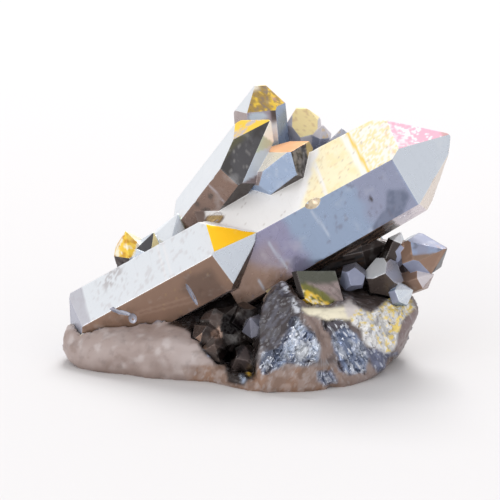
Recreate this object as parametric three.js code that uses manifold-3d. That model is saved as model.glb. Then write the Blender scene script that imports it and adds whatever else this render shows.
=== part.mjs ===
// A cluster of metal-coated quartz crystals on a piece of their own host rock.
// Millimetres, +Z up. The origin is the middle of the underside's bounding box.
import * as THREE from 'three';
import { ConvexGeometry } from 'three/addons/geometries/ConvexGeometry.js';
import { mergeVertices } from 'three/addons/utils/BufferGeometryUtils.js';
import Module from 'manifold-3d';

const wasm = await Module();
wasm.setup();

// ---- driving dimensions ----
const TIP_LEAN = 51.8;        // degrees from a quartz crystal's long axis to a tip face's normal
const SEAT_GAP = 0.3;         // clearance between a crystal and the rock or crystal it sits in
const ROCK_DETAIL = 7;        // each rock lump's sphere has 20 * (detail + 1)^2 triangles
const ROCK_EDGE_SHARPNESS = 14;  // higher keeps the edges between a lump's flats crisper
const CHIP_DETAIL = 1;         // the same count for a chip
const FLOOR_SIZE = 200;       // the box that cuts the underside off flat
const CRUST_LIFT = 1.2;       // how far the hollow's crystals stay above the resting plane
const rad = THREE.MathUtils.degToRad;
const vec = (x, y, z) => new THREE.Vector3(x, y, z);

// ---- solids from meshes and back ----
function solidOf(geometry) {
  const bare = geometry.clone();
  bare.deleteAttribute('normal');
  bare.deleteAttribute('uv');
  const merged = mergeVertices(bare, 1e-4);
  return new wasm.Manifold(new wasm.Mesh({
    numProp: 3,
    vertProperties: new Float32Array(merged.attributes.position.array),
    triVerts: new Uint32Array(merged.index.array),
  }));
}

function geometryOf(solid) {
  const mesh = solid.getMesh();
  const geometry = new THREE.BufferGeometry();
  geometry.setAttribute('position', new THREE.BufferAttribute(mesh.vertProperties, 3));
  geometry.setIndex(new THREE.BufferAttribute(mesh.triVerts, 1));
  return geometry;
}

const joined = (solids) => solids.reduce((whole, next) => whole.add(next));
const without = (solid, cutters) => cutters.reduce((rest, cutter) => rest.subtract(cutter), solid);

// ---- a convex solid bounded by flat faces ----
// Each plane is a unit normal and a distance. Its corners are the points where three planes meet
// that lie behind all the others.
function facetedGeometry(planes) {
  const corners = [];
  const normals = new THREE.Matrix3();
  for (let i = 0; i < planes.length; i++) {
    for (let j = i + 1; j < planes.length; j++) {
      for (let k = j + 1; k < planes.length; k++) {
        const [a, b, c] = [planes[i], planes[j], planes[k]];
        normals.set(...a.normal.toArray(), ...b.normal.toArray(), ...c.normal.toArray());
        if (Math.abs(normals.determinant()) < 1e-4) continue;
        const corner = vec(a.distance, b.distance, c.distance).applyMatrix3(normals.invert());
        const inside = planes.every((p) => p.normal.dot(corner) <= p.distance + 1e-5);
        const known = corners.some((other) => other.distanceTo(corner) < 1e-3);
        if (inside && !known) corners.push(corner);
      }
    }
  }
  return new ConvexGeometry(corners);
}

// ---- one quartz crystal ----
// A six-sided prism closed by six tip faces. `tip` is the point the tip faces would meet in,
// `bearing` and `rise` turn the long axis, and `twist` turns the first side about it. `reach` is
// the distance from the axis to a side, `sides` changes it for one side, and `drops` moves a tip
// face down the axis, so that the tip is as lopsided as a real one.
function quartz(shape, grow = 0) {
  const { tip, bearing, rise, twist, reach, sides = {}, drops = {}, taper = 0.6, length } = shape;
  const top = vec(...tip);
  const [b, r, lean, slope] = [bearing, rise, TIP_LEAN, taper].map(rad);
  const axis = vec(Math.cos(b) * Math.cos(r), Math.sin(b) * Math.cos(r), Math.sin(r));
  const side = vec(Math.sin(b), -Math.cos(b), 0);
  const over = side.clone().cross(axis);
  const planes = [];
  for (let k = 0; k < 6; k++) {
    const turn = rad(twist + 60 * k);
    const outward = side.clone().multiplyScalar(Math.cos(turn)).addScaledVector(over, Math.sin(turn));
    const wall = outward.clone().multiplyScalar(Math.cos(slope)).addScaledVector(axis, Math.sin(slope));
    const out = (sides[k] ?? reach) * Math.cos(slope);
    planes.push({ normal: wall, distance: wall.dot(top) + out + grow });
    const slant = axis.clone().multiplyScalar(Math.cos(lean)).addScaledVector(outward, Math.sin(lean));
    const drop = (drops[k] ?? 0) * Math.cos(lean);
    planes.push({ normal: slant, distance: slant.dot(top) - drop + grow });
  }
  const root = axis.clone().negate();
  planes.push({ normal: root, distance: root.dot(top) + length + grow });
  for (const cut of shape.cuts ?? []) {
    const normal = vec(...cut.toward).normalize();
    planes.push({ normal, distance: normal.dot(vec(...cut.at)) + grow });
  }
  return solidOf(facetedGeometry(planes));
}

// ---- smooth noise ----
// A number from -1 to 1 for each corner of a unit lattice, blended between the corners.
function latticeValue(i, j, k) {
  let h = Math.imul(i, 374761393) + Math.imul(j, 668265263) + Math.imul(k, 1274126177);
  h = Math.imul(h ^ (h >>> 13), 1103515245);
  return ((h ^ (h >>> 16)) >>> 0) / 2147483648 - 1;
}

function noise(point, size) {
  const scaled = point.clone().divideScalar(size);
  const cell = scaled.clone().floor();
  const [u, v, w] = scaled.sub(cell).toArray().map((t) => t * t * (3 - 2 * t));
  const { x, y, z } = cell;
  let sum = 0;
  for (const [i, a] of [[0, 1 - u], [1, u]]) {
    for (const [j, b] of [[0, 1 - v], [1, v]]) {
      for (const [k, c] of [[0, 1 - w], [1, w]]) sum += a * b * c * latticeValue(x + i, y + j, z + k);
    }
  }
  return sum;
}

// ---- one lump of rock ----
// The hull of a few corner points, seen from its middle as a distance in every direction, with
// its edges eased and its surface moved in and out by noise.
function lump({ corners, rough = 0.8, grain = 4.5, detail = ROCK_DETAIL }, grow = 0) {
  const points = corners.map((c) => vec(...c));
  const middle = points.reduce((sum, p) => sum.add(p), vec(0, 0, 0)).divideScalar(points.length);
  const hull = new ConvexGeometry(points.map((p) => p.clone().sub(middle)));
  const place = hull.attributes.position;
  const planes = [];
  for (let i = 0; i < place.count; i += 3) {
    const [a, b, c] = [0, 1, 2].map((n) => vec(0, 0, 0).fromBufferAttribute(place, i + n));
    const normal = b.clone().sub(a).cross(c.clone().sub(a)).normalize();
    planes.push({ normal, distance: normal.dot(a) });
  }
  const ball = new THREE.IcosahedronGeometry(1, detail);
  ball.deleteAttribute('normal');
  ball.deleteAttribute('uv');
  const skin = mergeVertices(ball, 1e-5);
  const spot = skin.attributes.position;
  for (let i = 0; i < spot.count; i++) {
    const toward = vec(0, 0, 0).fromBufferAttribute(spot, i).normalize();
    const crowd = planes.reduce((sum, { normal, distance }) => {
      const facing = normal.dot(toward);
      return facing > 1e-3 ? sum + (facing / distance) ** ROCK_EDGE_SHARPNESS : sum;
    }, 0);
    const flat = toward.clone().multiplyScalar(crowd ** (-1 / ROCK_EDGE_SHARPNESS));
    const seen = flat.clone().add(middle);
    const push = grow + rough * (noise(seen, grain) + 0.5 * noise(seen, grain / 2.1));
    flat.addScaledVector(toward, push);
    spot.setXYZ(i, flat.x + middle.x, flat.y + middle.y, flat.z + middle.z);
  }
  return solidOf(skin);
}

// ---- one chip or bump of a crystal ----
// A flattened ball whose long axis lies along `along` and whose short one points along `out`.
function dish({ middle, along, out, size }) {
  const long = vec(...along).normalize();
  const wide = vec(...out).normalize().cross(long).normalize();
  const deep = long.clone().cross(wide);
  const ball = new THREE.IcosahedronGeometry(1, CHIP_DETAIL);
  ball.applyMatrix4(new THREE.Matrix4().makeScale(...size));
  ball.applyMatrix4(new THREE.Matrix4().makeBasis(long, wide, deep).setPosition(...middle));
  return solidOf(ball);
}

// ---- the crystals ----
const LONG = { tip: [36.4, 5.3, 41.0], bearing: -3, rise: 30.3, twist: 57.5, reach: 7.5, taper: 1.5,
  sides: { 0: 6.9, 1: 8.8, 3: 6.5, 4: 9.1, 5: 7.9 }, drops: { 0: -0.5, 1: -0.8, 4: -1.7 }, length: 48 };
const FRONT = { tip: [1.2, -2.0, 25.1], bearing: -10.8, rise: 31.2, twist: 43.1, reach: 5.5, taper: 0,
  sides: { 0: 5.3, 1: 6.3, 4: 7.3, 5: 5.9 }, drops: { 0: 0.2, 1: 0.3, 4: -0.9 }, length: 46,
  cuts: [{ at: [-31.3, -1, 9], toward: [-1, -0.45, -0.05] }, { at: [-33.2, 3, 8], toward: [-1, 0.3, 0] }] };
const UNDER = { tip: [25.2, 5.2, 20.8], bearing: -5, rise: 14, twist: 39, reach: 3.4, length: 22 };
const ORANGE = { tip: [7.4, 2.5, 38.8], bearing: -80, rise: 44, twist: -45, reach: 4.6, taper: 0,
  sides: { 0: 5.6, 1: 5.8, 2: 6.5, 3: 6.5, 4: 4.2, 5: 3.6 }, drops: { 1: -0.4, 3: -6, 5: -2 },
  length: 16, cuts: [{ at: [1.2, 5.0, 30.6], toward: [-0.77, -0.63, 0.15] }] };
const LEANING = { tip: [0.6, 5.0, 40.2], bearing: -42, rise: 49, twist: -16, reach: 4,
  sides: { 1: 2.9, 2: 6.2, 5: 4.9 }, drops: { 0: 1.5, 1: -1.4, 2: -8, 3: -8, 4: -7, 5: -0.3 },
  length: 25 };
const TALL = { tip: [1.5, 18.8, 48.9], bearing: -178, rise: 85.4, twist: -120.8, reach: 4.2, taper: 1,
  sides: { 0: 4.3, 3: 3.8, 5: 3.9 }, drops: { 0: -0.2, 1: 0.4, 4: -0.7, 5: 0.2 }, length: 40,
  cuts: [{ at: [1.5, 18.8, 47.9], toward: [0, 0, 1] }] };
const GREY_BUD = { tip: [17.0, 14.8, 40.6], bearing: -100, rise: 80, twist: -60, reach: 2.9,
  length: 25 };
const CAPPED = { tip: [-23.1, 10.6, 21.9], bearing: -130, rise: 70, twist: -96, reach: 3, length: 14 };
const LEFT_SMALL = { tip: [-17.8, 9.6, 22.0], bearing: -21, rise: 75, twist: 63, reach: 2.6,
  length: 14 };
const LEFT_LARGE = { tip: [-13.4, 11.4, 25.1], bearing: -29, rise: 79, twist: 69, reach: 3.6,
  length: 16 };
const GOLD = { tip: [9.3, 20.2, 44.2], bearing: -139, rise: 79, twist: -96, reach: 2.9,
  sides: { 3: 3.4 }, drops: { 5: 1.9 }, length: 28,
  cuts: [{ at: [9.5, 20, 42.9], toward: [0.05, -0.1, 1] }] };
const GOLD_BUD = { tip: [13.6, 17.9, 40.5], bearing: -74, rise: 74, twist: -32, reach: 1.6, length: 12 };
const STUBBY = { tip: [35.9, 0.1, 21.6], bearing: -32, rise: 26, twist: 85, reach: 4.0,
  sides: { 3: 3.2, 4: 3.4 }, drops: { 0: 0.6 }, length: 7.6 };
const GLASSY = { tip: [33.5, -0.2, 16.6], bearing: -26, rise: 25, twist: 44, reach: 1.9, length: 8 };
const POCKET_BIG = { tip: [24.4, -3.9, 17.8], bearing: -88, rise: 25, twist: -79, reach: 3.2,
  drops: { 1: -1.4, 3: -1.4, 5: -1.4 }, length: 7.5 };
const POCKET_SMALL = { tip: [18.2, -4.3, 15.6], bearing: -98, rise: -9, twist: 130, reach: 2.1,
  drops: { 1: -1, 3: -1, 5: -1 }, length: 5 };
const BLUE_BUD = { tip: [29.5, -3.8, 14.6], bearing: -38, rise: 25, twist: 59, reach: 1.9, length: 4 };
const BRIGHT_BUD = { tip: [27.6, 3.6, 23.6], bearing: 20, rise: 66, twist: 20, reach: 1.5, length: 7 };
const BROWN_BUD = { tip: [29.6, 2.4, 22.4], bearing: -10, rise: 50, twist: 5, reach: 1.4, length: 7 };
const LEDGE = { tip: [13.85, -6.75, 8.25], bearing: -50.9, rise: -63.7, twist: 77.3, reach: 2.9,
  sides: { 0: 2.2, 1: 4.3, 5: 4.2 }, drops: { 1: -2.7, 5: 0.6 }, length: 12,
  cuts: [{ at: [12, -4.9, 18.5], toward: [-0.08, 0.43, 0.87] }] };
const HOLLOW = [
  { tip: [-3.2, -8.2, 9.7], bearing: -118, rise: 3, twist: 165, reach: 2.5,
    drops: { 1: -1, 3: -1, 5: -1 }, length: 5.5 },
  { tip: [-7.7, -9.3, 9.5], bearing: -83, rise: 44, twist: -46, reach: 2.3,
    drops: { 0: -0.8, 4: -1 }, length: 7 },
  { tip: [-6.4, -12.1, 7.0], bearing: -96, rise: 40, twist: -83, reach: 2.1,
    drops: { 1: -1, 3: -1 }, length: 8 },
  { tip: [-2.5, -13.7, 4.9], bearing: -119, rise: 28, twist: -121, reach: 2.9,
    drops: { 1: -1, 3: -1, 5: -1 }, length: 9 },
  { tip: [0.0, -9.9, 11.2], bearing: -118, rise: 47, twist: -126, reach: 2.2, length: 6 }];
const BACK_LEFT = { tip: [-9, 29, 23], bearing: 110, rise: 48, twist: 10, reach: 3.6, sides: { 1: 4.2 },
  drops: { 0: 0.6 }, length: 14 };
const BACK_MIDDLE = { tip: [17, 28, 15], bearing: 50, rise: 30, twist: 25, reach: 2.9,
  drops: { 2: 0.7 }, length: 12 };
const BACK_LOW = { tip: [-19, 25, 11], bearing: 135, rise: 30, twist: 50, reach: 2.5, length: 9 };
const BACK_RIGHT = { tip: [24, 20, 22], bearing: 48, rise: 44, twist: 5, reach: 2.6,
  drops: { 1: 0.5 }, length: 12 };

// Chips and bumps of each piece's crystals; a size is half of it along, across and out of the face.
const CHIPS = {
  main_crystals: [
    { middle: [11.2, -2.5, 30.5], along: [0.86, -0.05, 0.5], out: [-0.25, -0.86, 0.41],
      size: [1.7, 1.5, 1.1] },
    { middle: [-10.5, -4.9, 14.1], along: [0.42, 0.24, -0.88], out: [-0.03, -0.97, -0.25],
      size: [2.6, 0.4, 0.5] },
    { middle: [-23.6, -3.4, 10.5], along: [0.95, -0.06, -0.3], out: [-0.25, -0.87, 0.1],
      size: [2.6, 0.5, 0.45] },
    { middle: [-21.3, -3.3, 9.1], along: [0, -0.2, 1], out: [-0.03, -0.97, -0.25],
      size: [1.1, 0.8, 0.5] }],
};
const BUMPS = {
  main_crystals: [{ middle: [-6.3, 5.9, 25.5], along: [0.86, -0.05, 0.5], out: [-0.43, -0.52, 0.74],
    size: [1.7, 1.2, 0.8] }],
};

const ROCKS = {
  left: { corners: [[-35.3, -2, 1], [-35.8, -1, 5], [-34, 3, 8], [-33, 9, -2], [-32, 9, 7],
    [-24, -9, -3], [-28, -8, 4.5], [-14, -12.5, -3], [-13.5, -11.5, 7], [-8.8, -13.2, -3],
    [-8.2, -12.8, 5.2], [-4.9, -13.8, 4.6], [-4.6, -15, -3], [-8, -5, 7.5], [-6, 8, 12],
    [-22, 14, 12], [-24, 18, 10], [-25, 19, -2], [-4, 14, -2]], detail: 6 },
  sill: { corners: [[-9, -11, -2], [-8, -12.5, 3], [-4.5, -14.8, 2], [1.5, -18.3, 1.6], [2.5, -18.8, -3],
    [-4.4, -15.4, -3], [3, -10, -2], [-8, -4, -2], [-4, -9, 3], [2, -12, 2]], detail: 5, rough: 0.4 },
  middle: { corners: [[-14, 2, -2], [-14, 4, 12], [-6, 1, 11], [6, 2, 13], [20, 0, 12], [24, 0, -2],
    [22, 14, 14], [20, 18, -2], [0, 20, 14], [-12, 20, -2], [2, -12, -2], [18, -8, -2]], detail: 5 },
  front: { corners: [[6, -3, 17.5], [2.5, -7, 15], [0.9, -12, 10.5], [0, -15.2, 6.8], [1.6, -19, 3.5],
    [2, -20, -2], [8.5, -10.5, 13.5], [10, -12.5, 12], [12.5, -17, 8], [15, -17, -2], [14, -8, 10],
    [16, -4, -2], [0, -6, -2], [4, 2, 10]] },
  shelf: { corners: [[8, -9, 13.5], [19, -9, 13.2], [13, -13, 12.4], [25, -4.5, 12.4], [31.8, -1, 10.4],
    [27.6, -6, 6.6], [23.5, -7.5, 1.5], [20, -12.2, 8.5], [14, -16.6, 5.5], [19, -14, 4], [15, -17, -3],
    [18.5, -14.5, -3], [22, -6, -3], [26, 6, -2], [12, 4, -2], [14, 2, 13], [30, 6, 13], [29.5, 2, 3]] },
  wall: { corners: [[14, 4, -2], [30, 4, 12], [30.5, 5, 18], [28, 6, 22.5], [16, 6, 19], [14, 14, 19],
    [26, 14, 18], [27, 14, -2], [16, 20, -2]], detail: 6 },
  back: { corners: [[-20, 12, -2], [-21, 19, 12], [-12, 14, 20], [-13, 25, 16], [-4, 14, 24], [-4, 25, 20],
    [8, 14, 23], [8, 27, 20], [19, 12, 20], [21, 22, 18], [20, 26, -2], [10, 31, 8], [10, 30, -2],
    [-4, 30, 8], [-4, 29, -2], [-18, 25, -2]], detail: 6 },
};
const POCKET = { corners: [[-14.4, -18, 12.5], [-8.1, -18, 7], [-4.2, -19, 5.4], [-3.6, -20, 2.6],
  [1.5, -20, 4], [-1, -18, 13], [-6, -19, 16], [-14, -8, 10], [-10, -7, 6.5], [-7, -8, 4.5], [0, -9, 4.5],
  [3, -5, 14], [3, -2, 14], [-9, -2, 12], [-5, -3, 7]], detail: 6, rough: 0.4 };
const CRUST = { corners: [[-9, -8, 3], [0, -8, 3], [-9, -5, 12], [0, -5, 13], [-9, -3, 3], [0, -3, 4],
  [-5, -8.5, 6], [-4, -2, 9]], detail: 2, rough: 0.4 };

// ---- the pieces ----
// Crystals that overlap are one solid. Each piece is cut clear of the pieces before it.
const PIECES = {
  main_crystals: [LONG, FRONT, UNDER, ORANGE, LEANING, TALL, GREY_BUD, GOLD, GOLD_BUD, CAPPED,
    LEFT_SMALL, LEFT_LARGE, BACK_RIGHT],
  right_crystals: [STUBBY, GLASSY, POCKET_BIG, BLUE_BUD, BRIGHT_BUD, BROWN_BUD],
  pocket_crystal: [POCKET_SMALL],
  ledge_crystal: [LEDGE],
  back_crystal_left: [BACK_LEFT],
  back_crystal_middle: [BACK_MIDDLE],
  back_crystal_low: [BACK_LOW],
};

const FINISHES = {
  main_crystals: { color: 0xc3ccd4, roughness: 0.22, metalness: 0.8 },
  right_crystals: { color: 0x8b93a6, roughness: 0.2, metalness: 0.7 },
  pocket_crystal: { color: 0x9aa3b4, roughness: 0.25, metalness: 0.7 },
  ledge_crystal: { color: 0x7f7d63, roughness: 0.35, metalness: 0.7 },
  back_crystal_left: { color: 0xb9c4cf, roughness: 0.25, metalness: 0.75 },
  back_crystal_middle: { color: 0xd9b877, roughness: 0.3, metalness: 0.75 },
  back_crystal_low: { color: 0x8f96a8, roughness: 0.3, metalness: 0.7 },
  hollow_crystals: { color: 0x3a322e, roughness: 0.25, metalness: 0.5 },
  matrix: { color: 0xa79e97, roughness: 0.6, metalness: 0.25 },
};

const group = new THREE.Group();
function add(name, solid) {
  const mesh = new THREE.Mesh(geometryOf(solid), new THREE.MeshStandardMaterial(FINISHES[name]));
  mesh.name = name;
  group.add(mesh);
}

const below = (height) => solidOf(new THREE.BoxGeometry(FLOOR_SIZE, FLOOR_SIZE, FLOOR_SIZE)
  .translate(0, 0, height - FLOOR_SIZE / 2));
const floor = below(0);
const seats = [];
for (const [name, crystals] of Object.entries(PIECES)) {
  const bumps = (BUMPS[name] ?? []).map(dish);
  const chips = (CHIPS[name] ?? []).map(dish);
  const grown = joined([...crystals.map((c) => quartz(c)), ...bumps]);
  add(name, without(grown, [...chips, ...seats, floor]));
  seats.push(...crystals.map((c) => quartz(c, SEAT_GAP)));
}

const rock = joined(Object.values(ROCKS).map((r) => lump(r))).subtract(lump(POCKET));
const matrix = without(rock, [...seats, floor]);
const crust = joined([...HOLLOW.map((c) => quartz(c)), lump(CRUST)]);
const crustSeat = joined([...HOLLOW.map((c) => quartz(c, SEAT_GAP)), lump(CRUST, SEAT_GAP)]);
add('hollow_crystals', without(crust, [...seats, below(CRUST_LIFT)]));
add('matrix', without(matrix, [crustSeat.subtract(below(CRUST_LIFT - SEAT_GAP))]));

const bounds = new THREE.Box3().setFromObject(group);
const middle = bounds.getCenter(vec(0, 0, 0));
group.position.set(-middle.x, -middle.y, -bounds.min.z);

export default group;
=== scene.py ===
"""A cluster of film-coated quartz crystals on its own host rock. The frame is in metres; sizes
here are in millimetres unless a name or a comment says otherwise."""
import itertools
import math

import bmesh
import bpy
import numpy as np
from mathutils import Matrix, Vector
from mathutils.geometry import delaunay_2d_cdt


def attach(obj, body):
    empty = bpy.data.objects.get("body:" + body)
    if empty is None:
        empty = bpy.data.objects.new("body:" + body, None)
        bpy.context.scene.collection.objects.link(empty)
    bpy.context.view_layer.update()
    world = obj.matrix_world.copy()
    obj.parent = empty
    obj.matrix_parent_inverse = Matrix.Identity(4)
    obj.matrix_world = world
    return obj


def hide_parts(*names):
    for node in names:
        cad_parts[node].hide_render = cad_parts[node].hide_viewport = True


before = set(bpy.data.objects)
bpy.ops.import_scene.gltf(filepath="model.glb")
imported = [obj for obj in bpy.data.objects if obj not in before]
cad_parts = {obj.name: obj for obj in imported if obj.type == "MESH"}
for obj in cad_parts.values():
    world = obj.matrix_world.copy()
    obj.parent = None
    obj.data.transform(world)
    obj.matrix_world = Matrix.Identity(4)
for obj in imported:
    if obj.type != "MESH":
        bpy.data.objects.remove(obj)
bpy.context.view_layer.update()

MM = 0.001
# where the crystal table's origin lies in the frame
TABLE_ORIGIN = np.array([-1.1781, -5.8372, 0.0])
TIP_LEAN = math.radians(51.8)      # from a crystal's long axis to a tip face's normal
TINY = 1e-9                        # keeps a division by a length of nothing possible

# meshes
WELD = 0.002                       # corners closer than this are one corner
SAME_FLAT = math.radians(0.5)      # neighbours that turn less than this are one flat
SHARP_EDGE = math.radians(4)
FACET_STEP = 0.4                   # spacing of a flat face's points
EDGE_INSET = 0.09                  # width of the rounded band along a sharp edge
RELIEF_FADE = 0.9                  # the relief is whole this far from a sharp edge
RIDGE_HEIGHT = 0.012
RIDGE_WAVE = 2.1                   # radians of the ridges' sine to a millimetre
PIT_DEPTH = 0.07
LUMP_HEIGHT = 0.35                 # on broken and crusted faces
WEAR_DEPTH = 0.22                  # along sharp edges
ROCK_VOXEL = 0.4
ROCK_SWELL = 0.18                  # the rock's skin stands this far out, to close on the crystals
ROCK_SHARP = math.radians(28)

# stage, in metres and watts
FLOOR_HALF = 3.0
PAPER = (0.692, 0.683, 0.687, 1)
ROOM_TINT = (1, 0.985, 0.987, 1)
ROOM_STRENGTH = 0.785
# each soft lamp's place, the width of its square and its power
LAMPS = {"overhead": ((0.3, 1.9, 2.4), 1.3, 69.5), "front": ((-0.7, -0.8, 0.14), 0.7, 3.9)}
LAMP_TARGET = (0, 0, 0.02)

# camera
LOOK_AT = np.array([0.0, 0.0, 21.1]) + TABLE_ORIGIN
CAMERA_DISTANCE = 450.0
CAMERA_RISE = math.radians(15)
CAMERA_LENS = 178.5
CAMERA_SENSOR = 36.0
CAMERA_CLIP = (0.01, 20.0)         # metres
TO_CAMERA = np.array([0.0, -math.cos(CAMERA_RISE), math.sin(CAMERA_RISE)])


# ---- colour ----
def linear(tone):
    """The linear value of an 8-bit display tone."""
    c = np.asarray(tone, dtype=float) / 255
    return np.where(c <= 0.04045, c / 12.92, ((c + 0.055) / 1.055) ** 2.4)


def blend(a, b, amount):
    """a where amount is 0 and b where it is 1, row by row."""
    w = np.clip(amount, 0, 1)[..., None]
    return a * (1 - w) + b * w


def ease(low, high, x):
    """0 below low and 1 above high, with a smooth S between them. Low may be the larger one."""
    u = np.clip((x - low) / (high - low), 0, 1)
    return u * u * (3 - 2 * u)


# ---- noise on arrays of points ----
LATTICE_SHIFT = 1000.0             # moves every point to a place above zero on the lattice


def lattice(i, j, k, seed):
    """A number from 0 to 1 for each whole-number place, from a shuffle of its bits."""
    h = (i.astype(np.int64) * 374761393 + j.astype(np.int64) * 668265263
         + k.astype(np.int64) * 1274126177 + seed * 974711) & 0xFFFFFFFF
    h = ((h ^ (h >> 13)) * 1103515245) & 0xFFFFFFFF
    h = ((h ^ (h >> 15)) * 668265263) & 0xFFFFFFFF
    return ((h ^ (h >> 16)) & 0xFFFFFF) / float(0xFFFFFF)


def noise(points, size, seed=0):
    """Values from 0 to 1 at lattice corners `size` apart, blended smoothly between them."""
    scaled = points / size + LATTICE_SHIFT
    base = np.floor(scaled).astype(np.int64)
    f = scaled - base
    f = f * f * (3 - 2 * f)
    total = np.zeros(len(points))
    for corner in itertools.product((0, 1), repeat=3):
        share = np.where(corner, f, 1 - f)
        total += share[:, 0] * share[:, 1] * share[:, 2] * lattice(*(base + corner).T, seed)
    return total


def layered(points, size, seed=0, layers=3):
    """Noise with finer and fainter noise on top of it, from 0 to 1."""
    weights = [1 / 2 ** n for n in range(layers)]
    total = sum(w * noise(points, size * w, seed + n) for n, w in enumerate(weights))
    return total / sum(weights)


def flat_noise(across, along, size, seed):
    """Layered noise over two values instead of over places."""
    return layered(np.stack([across, along, 0 * along], 1), size, seed)


def grains(points, size, seed=0):
    """The nearest scattered grain centre of each point: three random numbers that belong to the
    grain, and the way from its centre to the point."""
    scaled = points / size + LATTICE_SHIFT
    base = np.floor(scaled).astype(np.int64)
    nearest = np.full(len(points), math.inf)
    own = np.zeros((len(points), 3))
    way = np.zeros((len(points), 3))
    for step in itertools.product((-1, 0, 1), repeat=3):
        cell = base + step
        spot = np.stack([lattice(*cell.T, seed + n) for n in (11, 12, 13)], 1)
        to = scaled - (cell + spot)
        far = np.linalg.norm(to, axis=1)
        nearer = far < nearest
        nearest = np.where(nearer, far, nearest)
        ids = np.stack([lattice(*cell.T, seed + n) for n in (21, 22, 23)], 1)
        own[nearer] = ids[nearer]
        way[nearer] = to[nearer]
    return own, way * size


# ---- the crystals: tip, bearing, rise and twist in degrees, and half the width ----
CRYSTALS = {
    "long": ((36.4, 5.3, 41.0), -3, 30.3, 57.5, 8.0),
    "front": ((1.2, -2.0, 25.1), -10.8, 31.2, 43.1, 6.0),
    "under": ((25.2, 5.2, 20.8), -5, 14, 39, 3.4),
    "orange": ((7.4, 2.5, 38.8), -80, 44, -45, 5.0),
    "leaning": ((0.6, 5.0, 40.2), -42, 49, -16, 4.0),
    "tall": ((1.5, 18.8, 48.9), -178, 85.4, -120.8, 4.1),
    "grey_bud": ((17.0, 14.8, 40.6), -100, 80, -60, 2.9),
    "capped": ((-23.1, 10.6, 21.9), -130, 70, -96, 3.0),
    "left_small": ((-17.8, 9.6, 22.0), -21, 75, 63, 2.6),
    "left_large": ((-13.4, 11.4, 25.1), -29, 79, 69, 3.6),
    "gold": ((9.3, 20.2, 44.2), -139, 79, -96, 3.0),
    "gold_bud": ((13.6, 17.9, 40.5), -74, 74, -32, 1.6),
    "back_right": ((24, 20, 22), 48, 44, 5, 2.6),
    "stubby": ((35.9, 0.1, 21.6), -32, 26, 85, 3.7),
    "glassy": ((33.5, -0.2, 16.6), -26, 25, 44, 1.9),
    "pocket_big": ((24.4, -3.9, 17.8), -88, 25, -79, 3.2),
    "blue_bud": ((29.5, -3.8, 14.6), -38, 25, 59, 1.9),
    "bright_bud": ((27.6, 3.6, 23.6), 20, 66, 20, 1.5),
    "brown_bud": ((29.6, 2.4, 22.4), -10, 50, 5, 1.4),
    "pocket_small": ((18.2, -4.3, 15.6), -98, -9, 130, 2.1),
    "ledge": ((13.85, -6.75, 8.25), -50.9, -63.7, 77.3, 3.5),
    "back_left": ((-9, 29, 23), 110, 48, 10, 3.7),
    "back_middle": ((17, 28, 15), 50, 30, 25, 2.9),
    "back_low": ((-19, 25, 11), 135, 30, 50, 2.5),
    "hollow_a": ((-3.2, -8.2, 9.7), -118, 3, 165, 2.5),
    "hollow_b": ((-7.7, -9.3, 9.5), -83, 44, -46, 2.3),
    "hollow_c": ((-6.4, -12.1, 7.0), -96, 40, -83, 2.1),
    "hollow_d": ((-2.5, -13.7, 4.9), -119, 28, -121, 2.9),
    "hollow_e": ((0.0, -9.9, 11.2), -118, 47, -126, 2.2),
}
HOLLOW_DARK = ["hollow_a", "hollow_b", "hollow_c", "hollow_d"]
# each CAD node's slot and crystals
GROUPS = {
    "main_crystals": ("coated_crystal", [
        "long", "front", "under", "orange", "leaning", "tall", "grey_bud", "capped", "left_small",
        "left_large", "gold", "gold_bud", "back_right"]),
    "right_crystals": ("blue_crystal", [
        "stubby", "glassy", "pocket_big", "blue_bud", "bright_bud", "brown_bud"]),
    "pocket_crystal": ("blue_crystal", ["pocket_small"]),
    "ledge_crystal": ("coated_crystal", ["ledge"]),
    "back_crystal_left": ("coated_crystal", ["back_left"]),
    "back_crystal_middle": ("coated_crystal", ["back_middle"]),
    "back_crystal_low": ("blue_crystal", ["back_low"]),
    "hollow_crystals": ("dark_crystal", HOLLOW_DARK + ["hollow_e"]),
}


def crystal_axes(name):
    """A crystal's tip, its long axis, and the directions of its six sides and six tip faces."""
    tip, bearing, rise, twist, _ = CRYSTALS[name]
    b, r = math.radians(bearing), math.radians(rise)
    axis = np.array([math.cos(b) * math.cos(r), math.sin(b) * math.cos(r), math.sin(r)])
    side = np.array([math.sin(b), -math.cos(b), 0.0])
    over = np.cross(side, axis)
    turn = np.radians(twist + 60 * np.arange(6))[:, None]
    sides = np.cos(turn) * side + np.sin(turn) * over
    tips = math.cos(TIP_LEAN) * axis + math.sin(TIP_LEAN) * sides
    return np.array(tip) + TABLE_ORIGIN, axis, sides, tips


AXES = {name: crystal_axes(name) for name in CRYSTALS}


# how a flat is matched to a crystal's face
FACE_TURN = 0.09                   # radians: the most that the two may differ in direction
TURN_COST = 3.0                    # for each radian between them
DEPTH_COST = 1 / 12                # for each millimetre between the two planes
STRAY_COST = 1 / 4                 # for each millimetre that the flat lies too far off the axis
STRAY_FROM = 1.35                  # times the crystal's half width
WORST_FIT = 0.6


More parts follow.
